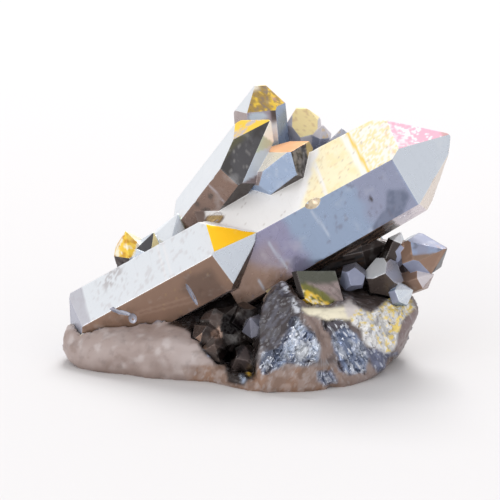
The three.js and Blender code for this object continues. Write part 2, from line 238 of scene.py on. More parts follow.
def which_face(group, normal, middle):
    """The crystal and face that a flat belongs to: the face that costs least. A flat that fits
    none is a cut or broken end of the crystal whose axis passes nearest for its width."""
    fits = [(WORST_FIT, "", "")]
    ends = [(math.inf, group[0])]
    for name in group:
        tip, axis, sides, tips = AXES[name]
        reach = CRYSTALS[name][4]
        way = middle - tip
        s = -way @ axis
        away = np.linalg.norm(way + s * axis)
        if s > -1:
            ends.append((away / reach, name))
        stray = max(0.0, away - reach * STRAY_FROM) * STRAY_COST
        for kind, ways, depth in (("m", sides, reach), ("r", tips, 0)):
            miss = abs(normal @ way - depth) * DEPTH_COST + stray
            for k, turn in enumerate(np.arccos(np.clip(ways @ normal, -1, 1))):
                if turn < FACE_TURN:
                    fits.append((turn * TURN_COST + miss, name, kind + str(k)))
    cost, crystal, face = min(fits)
    return (crystal, face) if cost < WORST_FIT else (min(ends)[1], "cut")


# ---- film colours ----
TONES = {
    "white": (248, 247, 246), "cream": (254, 244, 208), "gold": (255, 199, 20),
    "pink": (246, 176, 197), "ice": (214, 222, 232), "silver": (234, 239, 244),
    "steel": (151, 168, 194), "lavender": (150, 156, 180), "slate": (121, 122, 136),
    "umber": (146, 118, 101), "beige": (228, 216, 205), "blush": (225, 214, 218),
    "bronze": (90, 80, 76), "charcoal": (84, 83, 86), "old_gold": (180, 150, 84),
    "orange": (247, 183, 127), "sage": (189, 200, 181), "taupe": (172, 158, 156),
    "pewter": (175, 177, 190), "night": (44, 37, 35), "olive": (124, 116, 78),
    "straw": (252, 232, 172), "lilac": (180, 176, 196), "yellow": (250, 208, 72),
    "shell": (252, 243, 226), "sand": (214, 198, 170), "mauve": (160, 144, 142), "smoke": (70, 62, 60),
    "brown": (134, 110, 98), "frost": (206, 200, 204)}
FILM = {name: linear(tone) for name, tone in TONES.items()}
# how metallic, how rough and how speckled a film is, from 0 to 1
USUAL_FINISH = (0.42, 0.22, 0.15)
FILM_FINISH = {
    "white": (0.15, 0.4, 0.05), "cream": (0.15, 0.4, 0.05), "straw": (0.15, 0.4, 0.05),
    "gold": (0.6, 0.5, 0), "orange": (0.25, 0.35, 0.05), "sage": (0.25, 0.35, 0.05),
    "pink": (0, 0.6, 0), "silver": (0.4, 0.28, 0.1), "old_gold": (0.45, 0.35, 0.5),
    "charcoal": (0.5, 0.25, 0.3), "night": (0.5, 0.15, 0.1), "smoke": (0.5, 0.2, 0.1),
    "yellow": (0.3, 0.35, 0.2), "lavender": (0.3, 0.45, 0.1), "frost": (0.1, 0.3, 0.1),
    "umber": (0.35, 0.3, 0.1)}
# the films of each crystal's six sides and of its six tip faces, one name where all have the same,
# and of its cut or broken ends where it isn't the usual
FACE_FILMS = {
    "long": ("white ice lilac umber blush steel", "pink straw sage taupe beige ice", "sand"),
    "front": ("silver ice lavender umber taupe umber", "gold white orange sage bronze ice"),
    # the crystal under the longest one is night brown all over: painted shade of the dark gap beneath
    # the longest crystal
    "under": ("night", "smoke", "night"),
    "orange": ("steel taupe smoke lavender taupe smoke",
               "steel shell orange charcoal charcoal steel", "taupe"),
    "leaning": ("brown silver ice ice steel smoke", "charcoal yellow sage ice silver sage"),
    "tall": ("taupe ice lilac steel steel silver", "silver sage ice silver yellow old_gold", "cream"),
    "grey_bud": ("lilac", "pewter"),
    "capped": ("bronze steel ice steel umber silver", "yellow yellow ice silver cream yellow"),
    "left_small": ("silver taupe ice steel umber ice", "ice charcoal ice silver straw charcoal"),
    "left_large": ("silver smoke lavender taupe ice ice", "silver charcoal orange sage ice silver"),
    "gold": ("frost lavender taupe ice frost frost", "frost orange sage ice straw straw", "straw"),
    "gold_bud": ("pewter", "frost"),
    "back_right": ("steel umber silver lavender taupe ice",
                   "silver silver sage silver silver silver"),
    "stubby": ("ice steel umber steel lavender umber", "slate steel straw charcoal umber lavender"),
    "glassy": ("umber", "frost frost frost frost taupe frost"),
    "pocket_big": ("smoke smoke smoke smoke steel smoke",
                   "bronze bronze silver bronze pewter bronze"),
    "blue_bud": ("steel steel steel steel steel lavender", "ice"),
    # the bright bud's smoke and night sides are painted shade, and its silver tip is a painted
    # highlight
    "bright_bud": ("smoke night smoke smoke smoke smoke", "silver"),
    "brown_bud": ("lavender", "umber"),
    "pocket_small": ("slate", "lavender"),
    # the ledge crystal's cut root is smoke: painted shade, as it lies in shade below the longest
    # crystal
    "ledge": ("mauve smoke ice steel umber night", "ice olive ice silver straw olive", "smoke"),
    "back_left": ("steel", "silver straw silver silver silver silver"),
    "back_middle": ("pewter", "lilac straw lilac lilac ice lilac"),
    "back_low": ("lilac", "ice ice ice umber ice ice"),
    "hollow_a": ("night", "night night smoke night night night", "night"),
    "hollow_b": ("night bronze night umber night smoke",
                 "umber smoke smoke smoke smoke smoke", "night"),
    "hollow_c": ("smoke", "bronze night umber night smoke night", "night"),
    "hollow_d": ("smoke", "night", "night"),
    "hollow_e": ("smoke", "slate", "night"),
}
USUAL_CUT = "pewter"


def film_name(crystal, face):
    """The film of one face: m0 to m5 are a crystal's sides, r0 to r5 its tip faces, and cut is any
    cut or broken end."""
    sides, tips, *cut = FACE_FILMS[crystal]
    if face == "cut":
        return cut[0] if cut else USUAL_CUT
    films = (sides if face[0] == "m" else tips).split()
    return films[int(face[1]) % len(films)]


class Coat:
    """The colour and the finish of many points. The finish is three columns: metal, roughness and
    grit on crystals; metal, sparkle and roughness on the rock."""

    def __init__(self, count, colour, finish):
        self.colour = np.tile(np.asarray(colour, dtype=float), (count, 1))
        self.finish = np.tile(np.asarray(finish, dtype=float), (count, 1))

    def lay(self, amount, film, finish=None):
        """Another film over this one where amount is 1."""
        colour = FILM[film] if isinstance(film, str) else linear(film)
        self.colour = blend(self.colour, colour, amount)
        if finish is not None:
            self.finish = blend(self.finish, np.asarray(finish), amount)


def blotch(points, size, seed, low, high):
    """Ragged patches: 1 where layered noise is over high, 0 where it is under low."""
    return ease(low, high, layered(points, size, seed))


def line(x, at, half):
    """1 close to x = at, fading to 0 at half."""
    return ease(half, 0.3 * half, abs(x - at))


def streak_along(s, t, seed):
    """1 in thin bands that run along the crystal, 0 between."""
    return ease(0.52, 0.6, flat_noise(2.0 * t, 0.25 * s, 0.9, seed))


def front_mm(points):
    """Where points show from the camera's height: millimetres across and up from the crystal
    table's origin."""
    x, y, z = (points - TABLE_ORIGIN).T
    return np.stack([x, z * math.cos(CAMERA_RISE) + y * math.sin(CAMERA_RISE)], 1)


def inside_outline(points, ring):
    """True for the points inside a closed outline, by counting the edges to their right."""
    a, b = ring, np.roll(ring, -1, axis=0)
    x, y = points[:, 0, None], points[:, 1, None]
    spans = (a[:, 1] > y) != (b[:, 1] > y)
    rise = np.where(b[:, 1] == a[:, 1], TINY, b[:, 1] - a[:, 1])
    crosses = x < (b[:, 0] - a[:, 0]) * (y - a[:, 1]) / rise + a[:, 0]
    return (spans & crosses).sum(axis=1) % 2 == 1


def line_distance(points, starts, ends):
    """Each point's distance to the nearest of the straight pieces from starts to ends."""
    if not len(starts):
        return np.full(len(points), 1e3)
    along = ends - starts
    to = points[:, None] - starts[None]
    share = np.clip((to * along).sum(-1) / np.maximum((along ** 2).sum(-1), TINY), 0, 1)
    return np.linalg.norm(to - share[..., None] * along, axis=-1).min(axis=1)


def patch(places, outline, soft=0.5, wander=0.0):
    """1 inside an outline and 0 outside, with a soft wandering border. The places and the outline
    are both in front millimetres, or both in s and t of one crystal."""
    ring = np.array(outline, dtype=float)
    far = line_distance(places, ring, np.roll(ring, -1, axis=0))
    return ease(-soft, soft, np.where(inside_outline(places, ring), far, -far) + wander)


# ---- painters ----
# A painter lays more films over one face's own. It is given the coat, each point's s (how far down
# the long axis it is from the tip) and t (how far across), the points, and noise from about
# -0.5 to 0.5 that makes a border wander.
# painted shade: past this s the longest crystal's underside is painted smoky dark, where the lower
# crystals crowd under it
LONG_SHADOW = 15.8                 # the s at which the longest crystal's underside turns smoky
KNOB = np.array([-6.3, 5.9, 25.5]) + TABLE_ORIGIN          # the middle of the bump at its root


def speckled(*layers):
    """A painter that only lays ragged specks, each layer with its size, its seed, the noise at
    which it starts and is whole, its strength and its tone."""
    def paint_specks(c, s, t, p, wander):
        for size, seed, low, high, strength, tone in layers:
            c.lay(blotch(p, size, seed, low, high) * strength, tone)
    return paint_specks


def knob_distance(p):
    """How far points are from the middle of the bump."""
    return np.linalg.norm(p - KNOB, axis=1)


def paint_knob(c, p):
    """The small bump at the root of the longest crystal: white above, old gold with a brown rim
    below."""
    away = knob_distance(p)
    height = front_mm(p)[:, 1]
    below = ease(26.9, 26.5, height)
    c.lay(ease(2.0, 1.7, away) * ease(26.5, 26.9, height), "white")
    c.lay(ease(2.2, 1.9, away) * below, (112, 92, 78))
    c.lay(ease(1.9, 1.4, away) * below, (170, 142, 92))


def paint_long_top(c, s, t, p, wander):
    """White, with a brown root; cream further on, a gold band, and yellow flecks by the tip."""
    edge = 26 + 0.6 * t + 2.0 * wander
    cream = ease(edge + 0.6, edge - 0.6, s)
    c.lay(cream, "cream")
    c.lay(cream * blotch(p, 1.2, 15, 0.46, 0.6) * 0.5, (252, 232, 176))
    c.lay(cream * blotch(p, 0.5, 19, 0.64, 0.7) * 0.45, (222, 194, 150))
    c.lay(cream * line(s, 23.8 + 0.2 * wander, 0.35), "white")
    band = s + 0.09 * t + 0.15 * wander
    c.lay(ease(17.3, 16.8, band), (251, 249, 240))
    c.lay(line(band, 15.55, 0.45), (250, 212, 96))
    c.lay(ease(15.1, 14.9, band) * blotch(p, 0.45, 23, 0.5, 0.56) * 0.7, (253, 228, 146))
    c.lay(ease(11.5, 9.5, s) * blotch(p, 0.6, 27, 0.6, 0.64) * 0.3, "pink")
    c.lay(blotch(p, 0.5, 29, 0.72, 0.76) * 0.5, (178, 168, 160))
    c.lay(ease(-8.0, -8.4, front_mm(p)[:, 0]), (112, 94, 87))
    paint_knob(c, p)


def paint_long_cuts(c, s, t, p, wander):
    """The notch and the bump on the upper edge."""
    c.lay(ease(0.45, 0.55, layered(p, 0.7, 115)) * 0.7, (170, 150, 132))
    paint_knob(c, p)


def paint_long_under(c, s, t, p, wander):
    """Blush near the tip, smoky painted shade where the lower crystals crowd against it, with brown
    bands.
    """
    # painted shade: smoky dark brown past LONG_SHADOW
    c.lay(ease(LONG_SHADOW, LONG_SHADOW + 0.5, s + 0.6 * wander), (58, 49, 46))
    c.lay(ease(LONG_SHADOW, LONG_SHADOW + 0.5, s) * streak_along(s, t, 121), (128, 102, 86))


SLATE_STAIN = [(13.8, 1.0), (11.2, 2.4), (11.2, 4.4), (13.3, 5.9), (16, 6.8), (20.5, 7.2),
               (19.5, 5.6), (15.8, 4.0), (14.6, 2.2)]                    # s and t
# pale growth lines: s, and the t where each starts and ends
GROWTH_LINES = ((37.1, -1.3, 4.6), (27.4, -2.5, 3.0), (42.6, 3.9, 5.8))


def paint_long_front(c, s, t, p, wander):
    """Steel blue in the middle, lavender both ways, a slate patch by the tip and brown by the
    root, with a few straight pale growth lines across."""
    c.lay(ease(20.5, 18.0, s + 3 * wander), "lavender")
    stain = patch(np.stack([s, t], 1), SLATE_STAIN, 0.4, wander)
    c.lay(stain * (0.7 + 0.3 * blotch(p, 0.6, 51, 0.4, 0.55)), (112, 120, 142), (0.5, 0.3, 0.3))
    c.lay(ease(10.9, 10.2, s) * 0.6, (158, 176, 204))
    c.lay(ease(31.5, 34.0, s + 2.5 * wander), (150, 148, 176))
    c.lay(ease(35.0, 38.0, s + 2.5 * wander) * ease(-3.5, 0, t), (158, 147, 160))
    c.lay(ease(38.5, 42.5, s + 0.8 * (t - 2) + 2 * wander), (160, 134, 120))
    c.lay(ease(35, 37, s) * ease(1.5, 4.0, t) * blotch(p, 0.9, 53, 0.45, 0.6) * 0.6, "umber")
    for at, low, high in GROWTH_LINES:
        within = ease(low - 0.4, low, t) * ease(high + 0.4, high, t)
        c.lay(within * line(s + 0.05 * t, at, 0.32) * 0.65, (196, 206, 222))
    c.lay(line(np.hypot(s - 17.3, (t - 0.9) * 0.5), 0, 0.45), "smoke")
    c.lay(blotch(p, 0.8, 59, 0.7, 0.75) * 0.5, (120, 118, 134))


def paint_long_tip(c, s, t, p, wander):
    """Pink, broken up into white flecks away from the point."""
    loose = layered(p, 0.55, 61) + 0.012 * (s - 6.0) + 0.02 * wander
    c.lay(ease(0.55, 0.6, loose), (252, 249, 250))
    c.lay(ease(6.2, 7.4, s + 0.3 * t) * ease(0.44, 0.5, loose) * 0.8, (236, 226, 231))
    c.lay(ease(1.6, 0.8, s) * 0.6, (170, 150, 130))


def paint_front_top(c, s, t, p, wander):
    """Silver with two faint lines, pinkish scuffs, a greyer root and a gold nick beside the bump."""
    for at in (16.0, 17.3):
        c.lay(line(s, at + 0.3 * wander, 0.4) * 0.7, (244, 244, 246))
    c.lay(ease(11, 5, s) * 0.5, (236, 236, 238))
    c.lay(blotch(p, 0.8, 65, 0.62, 0.68) * 0.3, (196, 186, 186))
    scuffed = ease(24, 26, s) * ease(32, 29, s) * ease(0.5, -2.0, t)
    c.lay(scuffed * blotch(p, 0.5, 67, 0.55, 0.6) * 0.5, (158, 144, 142))
    c.lay(ease(33.8, 34.2, s + 0.3 * wander) * 0.7, (186, 184, 194))
    c.lay(ease(1.5, 1.2, knob_distance(p)), (158, 132, 88))


SLOT_STAIN = [(9.0, -0.8), (9.6, 4.5), (12.0, 6.0), (15.0, 3.4), (16.5, 0.5), (14.0, -1.6)]  # s and t


def paint_front_low(c, s, t, p, wander):
    """Umber, darker round the slot, with painted shade along the lower edge and tiny yellow flecks."""
    c.lay(patch(np.stack([s, t], 1), SLOT_STAIN, 0.8, 1.4 * wander) * 0.75, (108, 88, 78))
    # painted shade: darker towards the lower edge
    c.lay(ease(3.0, 6.0, t + 2 * wander) * 0.4, (132, 106, 94))
    c.lay(ease(24, 27, s) * blotch(p, 1.2, 69, 0.5, 0.6) * 0.5, (120, 96, 80))
    c.lay(blotch(p, 0.35, 71, 0.74, 0.78) * 0.15, (206, 176, 110))


def paint_under(c, s, t, p, wander):
    """Night brown, painted shade of the gap under the longest crystal, with paler brown and grey bands
    along it.
    """
    c.lay(streak_along(s, t, 123) * 0.7, (116, 92, 78))
    c.lay(streak_along(s, t, 125) * 0.5, (96, 98, 102))


def paint_tall_cap(c, s, t, p, wander):
    """Old gold with bright yellow patches, white at the top and lilac along the foot."""
    c.lay(blotch(p, 0.9, 73, 0.58, 0.64), (250, 212, 78))
    c.lay(ease(1.5, 2.4, t + wander), (250, 210, 80))
    c.lay(blotch(p, 0.5, 75, 0.52, 0.58) * 0.8, (146, 130, 120))
    c.lay(ease(2.4, 1.4, s + 1.2 * wander) * ease(0.6, -0.6, t), (247, 240, 224))
    c.lay(ease(5.4, 5.9, s + 1.5 * wander), (172, 158, 160))


def paint_tall_side(c, s, t, p, wander):
    """Silver with a pale shell-shaped chip at its top and a dark strip down one edge."""
    shell = ease(1.0, 0.6, np.hypot((s - 6.2) / 1.1, (t + 0.9) / 2.2) + 0.6 * wander)
    c.lay(ease(7.6, 6.6, s + wander), (166, 156, 166))
    c.lay(shell, (208, 221, 232))
    c.lay(ease(1.3, 1.9, t + 0.6 * wander) * ease(8.5, 6.5, s), (86, 76, 74))


def paint_leaning_cap(c, s, t, p, wander):
    """Bright yellow with silver-pink bare patches, and a pale rim at its foot."""
    c.lay(blotch(p, 1.3, 81, 0.56, 0.62), (206, 192, 182))
    c.lay(ease(2.4, 3.6, s + 2 * wander) * 0.8, (222, 200, 178))


def paint_leaning_tip(c, s, t, p, wander):
    """Charcoal with smoky patches, an olive rim and pale flecks towards its foot."""
    c.lay(blotch(p, 1.8, 83, 0.48, 0.62) * 0.7, (66, 63, 62))
    c.lay(ease(-1.2, -2.6, t + wander) * 0.6, (104, 102, 70))
    c.lay(ease(1.0, 3.0, s) * blotch(p, 0.45, 85, 0.68, 0.72) * 0.3, (196, 194, 190))


def paint_leaning_right(c, s, t, p, wander):
    """Sage, white along its upper right, silver blue below, then dark."""
    c.lay(ease(-1.7, -1.9, s - 0.37 * t + 0.5 * wander), (246, 244, 238), (0.3, 0.4, 0.3))
    c.lay(ease(1.7, 1.95, s + 0.33 * t), (196, 206, 219))
    c.lay(ease(5.2, 5.6, s + 0.33 * t + 0.8 * wander), (128, 116, 118))
    c.lay(ease(7.0, 7.6, s + 0.8 * wander), (66, 56, 54))


def paint_leaning_low(c, s, t, p, wander):
    """Brown with a few dark smudges and one pale scratch."""
    for at, across, size in ((12.8, 0.6, 0.5), (16.5, 1.8, 1.3), (16.2, -0.5, 0.6)):
        c.lay(ease(1.2, 0.8, np.hypot(s - at, t - across) / size + wander) * 0.75, (84, 76, 72))
    c.lay(line(s - 0.1 * t, 11.2, 0.25) * 0.6, (196, 190, 196))


def paint_orange_break(c, s, t, p, wander):
    """A splintered dark break with pale fibres and a gold outer rim."""
    fibres = layered(p * np.array([1.0, 1.0, 0.35]), 0.5, 87)
    c.lay(ease(0.56, 0.62, fibres) * 0.8, (128, 122, 124))
    c.lay(ease(0.52, 0.44, fibres), (44, 38, 38))
    c.lay(ease(5.2, 5.6, s + 0.5 * t + wander) * 0.8, (214, 186, 120))


def paint_cap(c, s, t, p, wander):
    """A rough cap of yellow and cream crust, brown along its foot."""
    c.lay(blotch(p, 1.0, 91, 0.46, 0.52), (251, 244, 220))
    c.lay(blotch(p, 0.8, 93, 0.58, 0.63), (214, 158, 44))
    c.lay(ease(3.6, 4.4, s + wander), (110, 98, 90))


def paint_ledge_face(c, s, t, p, wander):
    """Mauve, with a dark streaked top, a green band across and gold at the lower left."""
    band = 4.76 - 0.82 * s + 0.78 * t + 1.2 * wander + 1.4 * (layered(p, 0.7, 57) - 0.5)
    streak = flat_noise(band * 1.6, (s + t) * 0.35, 0.8, 95)
    c.lay(ease(0.5, 0.62, streak) * 0.6, (108, 100, 96))
    c.lay(ease(-0.8, -0.1, band), (120, 120, 62))
    c.lay(ease(-0.8, -0.1, band) * ease(0.52, 0.6, streak) * 0.7, (88, 90, 58))
    c.lay(ease(0.5, 0.9, band) * blotch(p, 0.5, 97, 0.38, 0.46), (242, 202, 70))
    c.lay(ease(0.9, 1.4, band) * blotch(p, 0.5, 99, 0.56, 0.6), (250, 240, 206))
    c.lay(ease(7.6, 8.9, s - 0.23 * t + 2 * wander), (92, 94, 84))
    c.lay(ease(3.25, 3.1, s), (172, 188, 192))


def paint_stubby_top(c, s, t, p, wander):
    """Slate with lavender-blue patches, and brown specks towards the tip."""
    c.lay(ease(0.4, 0.6, layered(p, 2.0, 103)) * 0.6, (134, 142, 170), (0.2, 0.6, 0.2))
    c.lay(ease(3.0, 1.0, s) * blotch(p, 0.6, 105, 0.5, 0.58) * 0.8, (142, 122, 118))


def paint_stubby_front(c, s, t, p, wander):
    """Lavender blue above, umber below."""
    c.lay(ease(0.4, 0.6, layered(p, 1.6, 107)) * 0.6, (152, 172, 204), (0.2, 0.5, 0.2))
    c.lay(blotch(p, 0.9, 109, 0.6, 0.66) * 0.6, (96, 98, 108))
    c.lay(ease(0.5, 1.0, t + wander), (142, 118, 102))


# yellow, broken up with brown and rose
paint_tall_right = speckled((0.8, 77, 0.5, 0.56, 1, (176, 146, 82)),
                            (0.5, 79, 0.58, 0.62, 0.8, (206, 160, 150)))
# gold flecks, and olive ones on them
paint_ledge_foot = speckled((0.6, 99, 0.42, 0.5, 1, (238, 198, 66)),
                            (0.5, 101, 0.58, 0.64, 1, (96, 86, 50)))
paint_pale_pinholes = speckled((0.6, 89, 0.66, 0.7, 0.2, (206, 214, 224)))
paint_brown_pinholes = speckled((0.45, 111, 0.6, 0.66, 0.5, (206, 170, 130)))
paint_gold_specks = speckled((0.9, 113, 0.58, 0.64, 0.7, (226, 196, 140)))

PAINTERS = {
    "long": dict(m0=paint_long_top, m4=paint_long_under, m5=paint_long_front, r0=paint_long_tip,
                 cut=paint_long_cuts),
    "front": dict(m0=paint_front_top, m5=paint_front_low),
    "under": dict(m0=paint_under, m4=paint_under, m5=paint_under),
    "tall": dict(m5=paint_tall_side, r4=paint_tall_right, r5=paint_tall_cap),
    "leaning": dict(m0=paint_leaning_low, r0=paint_leaning_tip, r1=paint_leaning_cap,
                    r5=paint_leaning_right),
    "orange": dict(r0=paint_pale_pinholes, r4=paint_orange_break),
    "capped": dict(r0=paint_cap, r1=paint_cap, r4=paint_cap, r5=paint_cap),
    "ledge": dict(m0=paint_ledge_face, r1=paint_ledge_foot, r5=paint_ledge_foot),
    "stubby": dict(r0=paint_stubby_top, r5=paint_stubby_front),
    "gold": dict(r5=paint_brown_pinholes),
    "gold_bud": dict(r5=paint_gold_specks),
    "grey_bud": dict(r0=paint_gold_specks, r5=paint_gold_specks),
}

# straight-sided facets across the hollow: tones, how metallic, and outlines in front millimetres
HOLLOW_FACETS = (
    ((80, 68, 64), 0.6,
     [(-8.9, 9.0), (-5.0, 8.9), (-5.3, 6.9), (-7.1, 5.7), (-7.3, 7.7), (-8.8, 7.9)]),
    ((100, 86, 80), 0.6, [(-8.9, 5.1), (-4.9, 4.8), (-5.0, 3.4), (-6.0, 2.4), (-7.5, 2.2)]),
    ((94, 83, 80), 0.6,
     [(-4.3, -1.8), (-3.8, 0.2), (-2.0, 1.4), (-0.8, 3.4), (0.4, 0.2), (-0.8, -1.4), (-1.8, 0.0),
      (-2.8, -2.2), (-4.0, -2.8)]),
    ((34, 28, 27), 0.95,
     [(-6.2, 1.4), (-5.0, 2.6), (-3.0, 3.8), (-1.8, 3.0), (-2.2, 1.8), (-3.8, 0.0)]),
    ((18, 14, 15), 0.98,
     [(-4.8, 8.8), (-3.0, 8.8), (-0.9, 6.3), (-3.0, 5.1), (-5.4, 5.3), (-5.2, 7.1)]),
    ((164, 138, 124), 0.6,
     [(-7.1, 5.5), (-5.6, 6.6), (-5.3, 5.5), (-4.9, 4.8), (-5.6, 4.4), (-7.0, 4.8)]))


def paint_hollow(c, p):
    """Brown and black facets over the hollow's crystals."""
    places = front_mm(p)
    for tone, metal, outline in HOLLOW_FACETS:
        c.lay(patch(places, outline, 0.12), tone, (metal, 0.25, 0.05))


# how far back a face is turned, as its normal's y, where its film starts to be thicker and is
# thickest, and what that adds to the power of its colour and takes from its brightness
BACK_TURN = (0.27, 0.6)
BACK_POWER = 0.45
BACK_DIMMING = 0.2


def deepened(colour, backward):
    """The colour, darker and stronger where a face is turned to the back: its film is thicker there.
    Each share of red, green and blue is raised to a power, then dimmed."""
    amount = np.reshape(ease(*BACK_TURN, np.asarray(backward)), (-1, 1))
    return colour ** (1 + BACK_POWER * amount) * (1 - BACK_DIMMING * amount)


def paint(crystal, face, s, t, points):
    """One face's coat at each of its points."""
    film = film_name(crystal, face)
    coat = Coat(len(s), FILM[film], FILM_FINISH.get(film, USUAL_FINISH))
    painter = PAINTERS.get(crystal, {}).get(face)
    if painter:
        painter(coat, s, t, points, layered(points, 2.5, 5) - 0.5)
    if crystal in HOLLOW_DARK:
        paint_hollow(coat, points)
    return coat


# ---- flat faces with growth relief ----
def rough_break(crystal, face):
    """True for the faces that are broken, and for a crystal crusted all over."""
    return crystal == "capped" or (crystal, face) in (("orange", "r4"), ("orange", "m5"))


def relief(s, points, rough):
    """Height of the growth relief: low ridges across the long axis, by a sine of a wandering s
    that noise makes stronger or fainter, and a few pits. Coarse noise is added to rough faces."""
    drift = s + 0.8 * (layered(points, 6.0, 3) - 0.5)
    ridges = RIDGE_HEIGHT * np.sin(drift * RIDGE_WAVE) * layered(points, 5.0, 9)
    pits = PIT_DEPTH * ease(0.78, 0.88, noise(points, 0.9, 31))
    lumps = LUMP_HEIGHT * (layered(points, 1.2, 41) - 0.55) if rough else 0
    return ridges - pits + lumps


def merged_copy(node):
    """A CAD node's mesh in millimetres, with its doubled corners merged."""
    shape = bmesh.new()
    shape.from_mesh(node.data)
    bmesh.ops.scale(shape, vec=(1 / MM,) * 3, verts=shape.verts)
    bmesh.ops.remove_doubles(shape, verts=shape.verts, dist=WELD)
    return shape


def divided_edges(shape):
    """The corners, then points FACET_STEP apart along every edge; for each edge, the row numbers
    of its points from end to end; and whether it is sharp."""
    corners = np.array([v.co for v in shape.verts])
    points = [corners]
    count = len(corners)
    runs, sharp = {}, {}
    for edge in shape.edges:
        a, b = (v.index for v in edge.verts)
        parts = max(1, round(edge.calc_length() / FACET_STEP))
        share = np.arange(1, parts)[:, None] / parts
        points.append(corners[a] * (1 - share) + corners[b] * share)
        runs[edge.index] = [a, *range(count, count + parts - 1), b]
        count += parts - 1
        sharp[edge.index] = edge.calc_face_angle(math.pi) > SHARP_EDGE
    return np.concatenate(points), runs, sharp


def flat_axes(axis, normal):
    """Directions in a flat: across the crystal's long axis, and down along it. A flat square to
    the axis takes them from an axis close to Y instead."""
    across = np.cross(axis, normal)
    if np.linalg.norm(across) < 0.05:
        across = np.cross((0.0, 1.0, 0.1), normal)
    across = across / np.linalg.norm(across)
    return across, np.cross(normal, across)


def inset_rows(starts, ends):
    """Points FACET_STEP apart along each straight piece, moved EDGE_INSET to its left."""
    rows = [np.zeros((0, 2))]
    for start, along in zip(starts, ends - starts):
        length = np.linalg.norm(along)
        parts = max(1, round(length / FACET_STEP))
        share = (np.arange(parts) + 0.5)[:, None] / parts
        left = np.array([-along[1], along[0]]) / max(length, TINY)
        rows.append(start + along * share + EDGE_INSET * left)
    return np.concatenate(rows)


def well_inside(points, ring, least):
    """Those of the points that are inside an outline and more than `least` from it."""
    points = points[inside_outline(points, ring)]
    return points[line_distance(points, ring, np.roll(ring, -1, axis=0)) > least]


def filled_flat(ring, starts, ends):
    """New points inside a flat's outline, in a row beside each sharp edge and on a square grid, and
    triangles over the outline's points and the new ones."""
    grid = np.stack(np.meshgrid(*(np.arange(low, high, FACET_STEP)
                                  for low, high in zip(ring.min(0), ring.max(0)))), -1)
    extra = np.concatenate([well_inside(inset_rows(starts, ends), ring, 0.9 * EDGE_INSET),
                            well_inside(grid.reshape(-1, 2), ring, 0.5 * FACET_STEP)])
    every = np.concatenate([ring, extra]).tolist()
    _, _, faces, origins, *_ = delaunay_2d_cdt(every, [], [list(range(len(ring)))], 1, 1e-5)
    source = np.array([origin[0] if origin else -1 for origin in origins])
    faces = source[np.array(faces).reshape(-1, 3)]
    return extra, faces[(faces >= 0).all(axis=1)]


def flat_outline(face, runs, sharp):
    """The row numbers of the points round a flat, and the runs of its sharp edges."""
    ring, worn = [], []
    for loop in face.loops:
        run = runs[loop.edge.index]
        run = run if run[0] == loop.vert.index else run[::-1]
        ring += run[:-1]
        if sharp[loop.edge.index]:
            worn.append(run)
    return ring, worn


def worn_edges(points, inward):
    """The points moved inwards where noise is high, if their inward direction isn't zero."""
    amount = ease(0.6, 0.85, layered(points, 1.6, 77)) * ease(0.35, 0.6, noise(points, 9, 5))
    size = np.linalg.norm(inward, axis=1, keepdims=True)
    return points + WEAR_DEPTH * amount[:, None] * inward / np.maximum(size, TINY)


def paler(colour):
    """The colour of a flat's rim, brighter and a little whiter than the flat: a painted highlight
    along a sharp edge.
    """
    return np.minimum(colour * 1.25 + 0.06, 0.96)


def faceted_piece(name, group):
    """One piece from a CAD node: its flats are filled with points FACET_STEP apart, which rise
    along the flat's normal by the relief, faded out towards the sharp edges. The sharp edges are
    worn here and there, and the rim of a flat that has one is painted paler: a painted highlight
    along the edge. The chart is t and s."""
    shape = merged_copy(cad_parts[name])
    bmesh.ops.dissolve_limit(shape, angle_limit=SAME_FLAT, verts=shape.verts, edges=shape.edges)
    shape.normal_update()
    outlines, runs, sharp = divided_edges(shape)
    inward = np.zeros_like(outlines)
    count = len(outlines)
    rows, tris, coats, charts = [outlines], [], [], []
    for face in shape.faces:
        normal = np.array(face.normal)
        middle = np.array(face.calc_center_median())
        crystal, kind = which_face(group, normal, middle)
        tip, axis, _, _ = AXES[crystal]
        across, down = flat_axes(axis, normal)
        flat = np.stack([across, down], 1)
        ids, worn = flat_outline(face, runs, sharp)
        for run in worn:
            inward[run] -= normal
        ring, starts, ends = ((outlines[picked] - middle) @ flat for picked in (
            ids, [run[0] for run in worn], [run[-1] for run in worn]))
        extra, faces = filled_flat(ring, starts, ends)
        place = middle + extra @ flat.T
        rise = relief(-(place - tip) @ axis, place, rough_break(crystal, kind))
        rise = rise * ease(EDGE_INSET, RELIEF_FADE, line_distance(extra, starts, ends))
        place = place + normal * rise[:, None]
        rows.append(place)
        tris.append(np.array([*ids, *range(count, count + len(extra))])[faces])
        count += len(extra)
        whole = np.concatenate([outlines[ids], place])[faces.ravel()]
        s = -(whole - tip) @ axis
        t = (whole - tip) @ across
        charts.append(np.stack([t, s], 1))
        coat = paint(crystal, kind, s, t, whole)
        # painted highlight: the outline points of a flat with a sharp edge get the paler rim colour
        rim = (faces.ravel() < len(ids)) & (len(worn) > 0)
        coat.colour = deepened(coat.colour, normal[1])
        coat.colour = blend(coat.colour, paler(coat.colour), 0.4 * rim)
        coats.append(coat)
    shape.free()
    rows[0] = worn_edges(outlines, inward)
    rows = np.concatenate(rows)
    rows[:, 2] = np.maximum(rows[:, 2], 0)
    mesh = bpy.data.meshes.new(name + "_skin")
    mesh.from_pydata((rows * MM).tolist(), [], np.concatenate(tris).tolist())
    store_coats(mesh, "CORNER", coats)
    mesh.uv_layers.new(name="chart").data.foreach_set("uv", np.concatenate(charts).ravel())
    mesh.shade_smooth()
    mesh.validate()
    return add_object(mesh.name, mesh)


